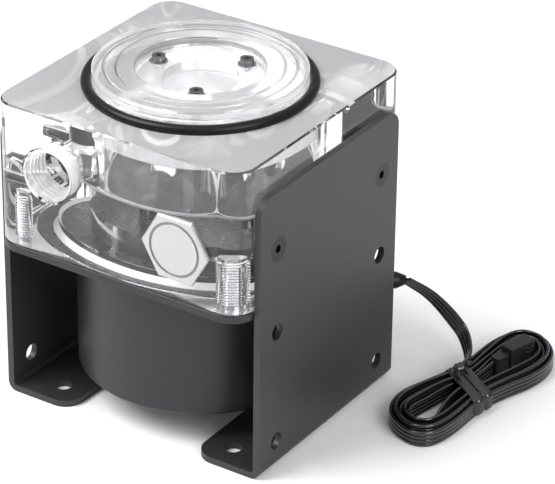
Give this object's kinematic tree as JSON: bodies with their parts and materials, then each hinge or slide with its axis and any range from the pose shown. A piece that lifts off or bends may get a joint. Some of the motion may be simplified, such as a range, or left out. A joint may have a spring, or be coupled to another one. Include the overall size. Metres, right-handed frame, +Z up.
{
  "type": "coolant pump reservoir",
  "caption": "Clear square tank block with a screw cap and two ports on a canned-rotor coolant pump, held between two bent side brackets, with a tied flat cable and plug.",
  "frame": {"origin": "on the surface it stands on, under the middle of the square block, at the centre of the four foot holes", "axes": "+Z up through the cap; +X through the right side bracket; -Y is the face with the inlet port and the badge, +Y the face with the outlet port"},
  "size_m": [0.1064, 0.0958, 0.086],
  "materials": {
    "clear_acrylic": "clear, machined and polished",
    "seal_rubber": "smooth black",
    "steel_screws": "bright machined steel",
    "black_screws": "blackened steel",
    "pump_black": "satin moulded black",
    "bracket_coat": "fine black powder coat",
    "badge_silver": "pale satin",
    "board_green": "solder mask",
    "component_black": "moulded",
    "can_plastic": "moulded, glass filled",
    "core_steel": "stacked steel sheets",
    "coil_copper": "enamelled copper wire",
    "shaft_steel": "ground",
    "bush_carbon": "dense carbon",
    "impeller_black": "moulded",
    "magnet_black": "sintered",
    "cable_black": "satin insulation",
    "tie_black": "flat coated wire",
    "connector_black": "moulded"
  },
  "bodies": {
    "root": {"tank_block": "clear_acrylic", "pump_plate": "pump_black", "corner_screws": "steel_screws", "housing_shell": "pump_black", "plate_screws": "steel_screws", "housing_base": "pump_black", "circuit_board": "board_green", "board_components": "component_black", "separating_can": "can_plastic", "can_seal": "seal_rubber", "stator_core": "core_steel", "stator_coils": "coil_copper", "rotor_shaft": "shaft_steel", "shaft_washer": "shaft_steel", "right_bracket": "bracket_coat", "left_bracket": "bracket_coat", "bracket_screws": "black_screws", "front_badge": "badge_silver", "cable_gland": "cable_black", "cable_hank": "cable_black", "cable_tie": "tie_black", "cable_lead": "cable_black", "connector_housing": "connector_black", "connector_cover": "connector_black"},
    "seal": {"cap_seal": "seal_rubber"},
    "cap": {"tank_cap": "clear_acrylic", "cap_window": "clear_acrylic", "cap_washers": "black_screws", "cap_screws": "black_screws"},
    "rotor": {"impeller": "impeller_black", "rotor_bush": "bush_carbon", "rotor_magnet": "magnet_black"}
  },
  "joints": [
    {"name": "cap_lift", "type": "slide", "parent": "root", "child": "seal", "axis": [0, 0, 1], "range_m": [0, 0.006]},
    {"name": "cap_turn", "type": "hinge", "parent": "seal", "child": "cap", "pos_m": [0, 0, 0.0815], "axis": [0, 0, 1], "range_deg": [0, 1440]},
    {"name": "rotor_spin", "type": "hinge", "parent": "root", "child": "rotor", "pos_m": [0, 0, 0.045], "axis": [0, 0, 1], "continuous": true}
  ],
  "couplings": [
    {"joint": "cap_lift", "follows": "cap_turn", "m_per_rad": 0.00023873}
  ]
}
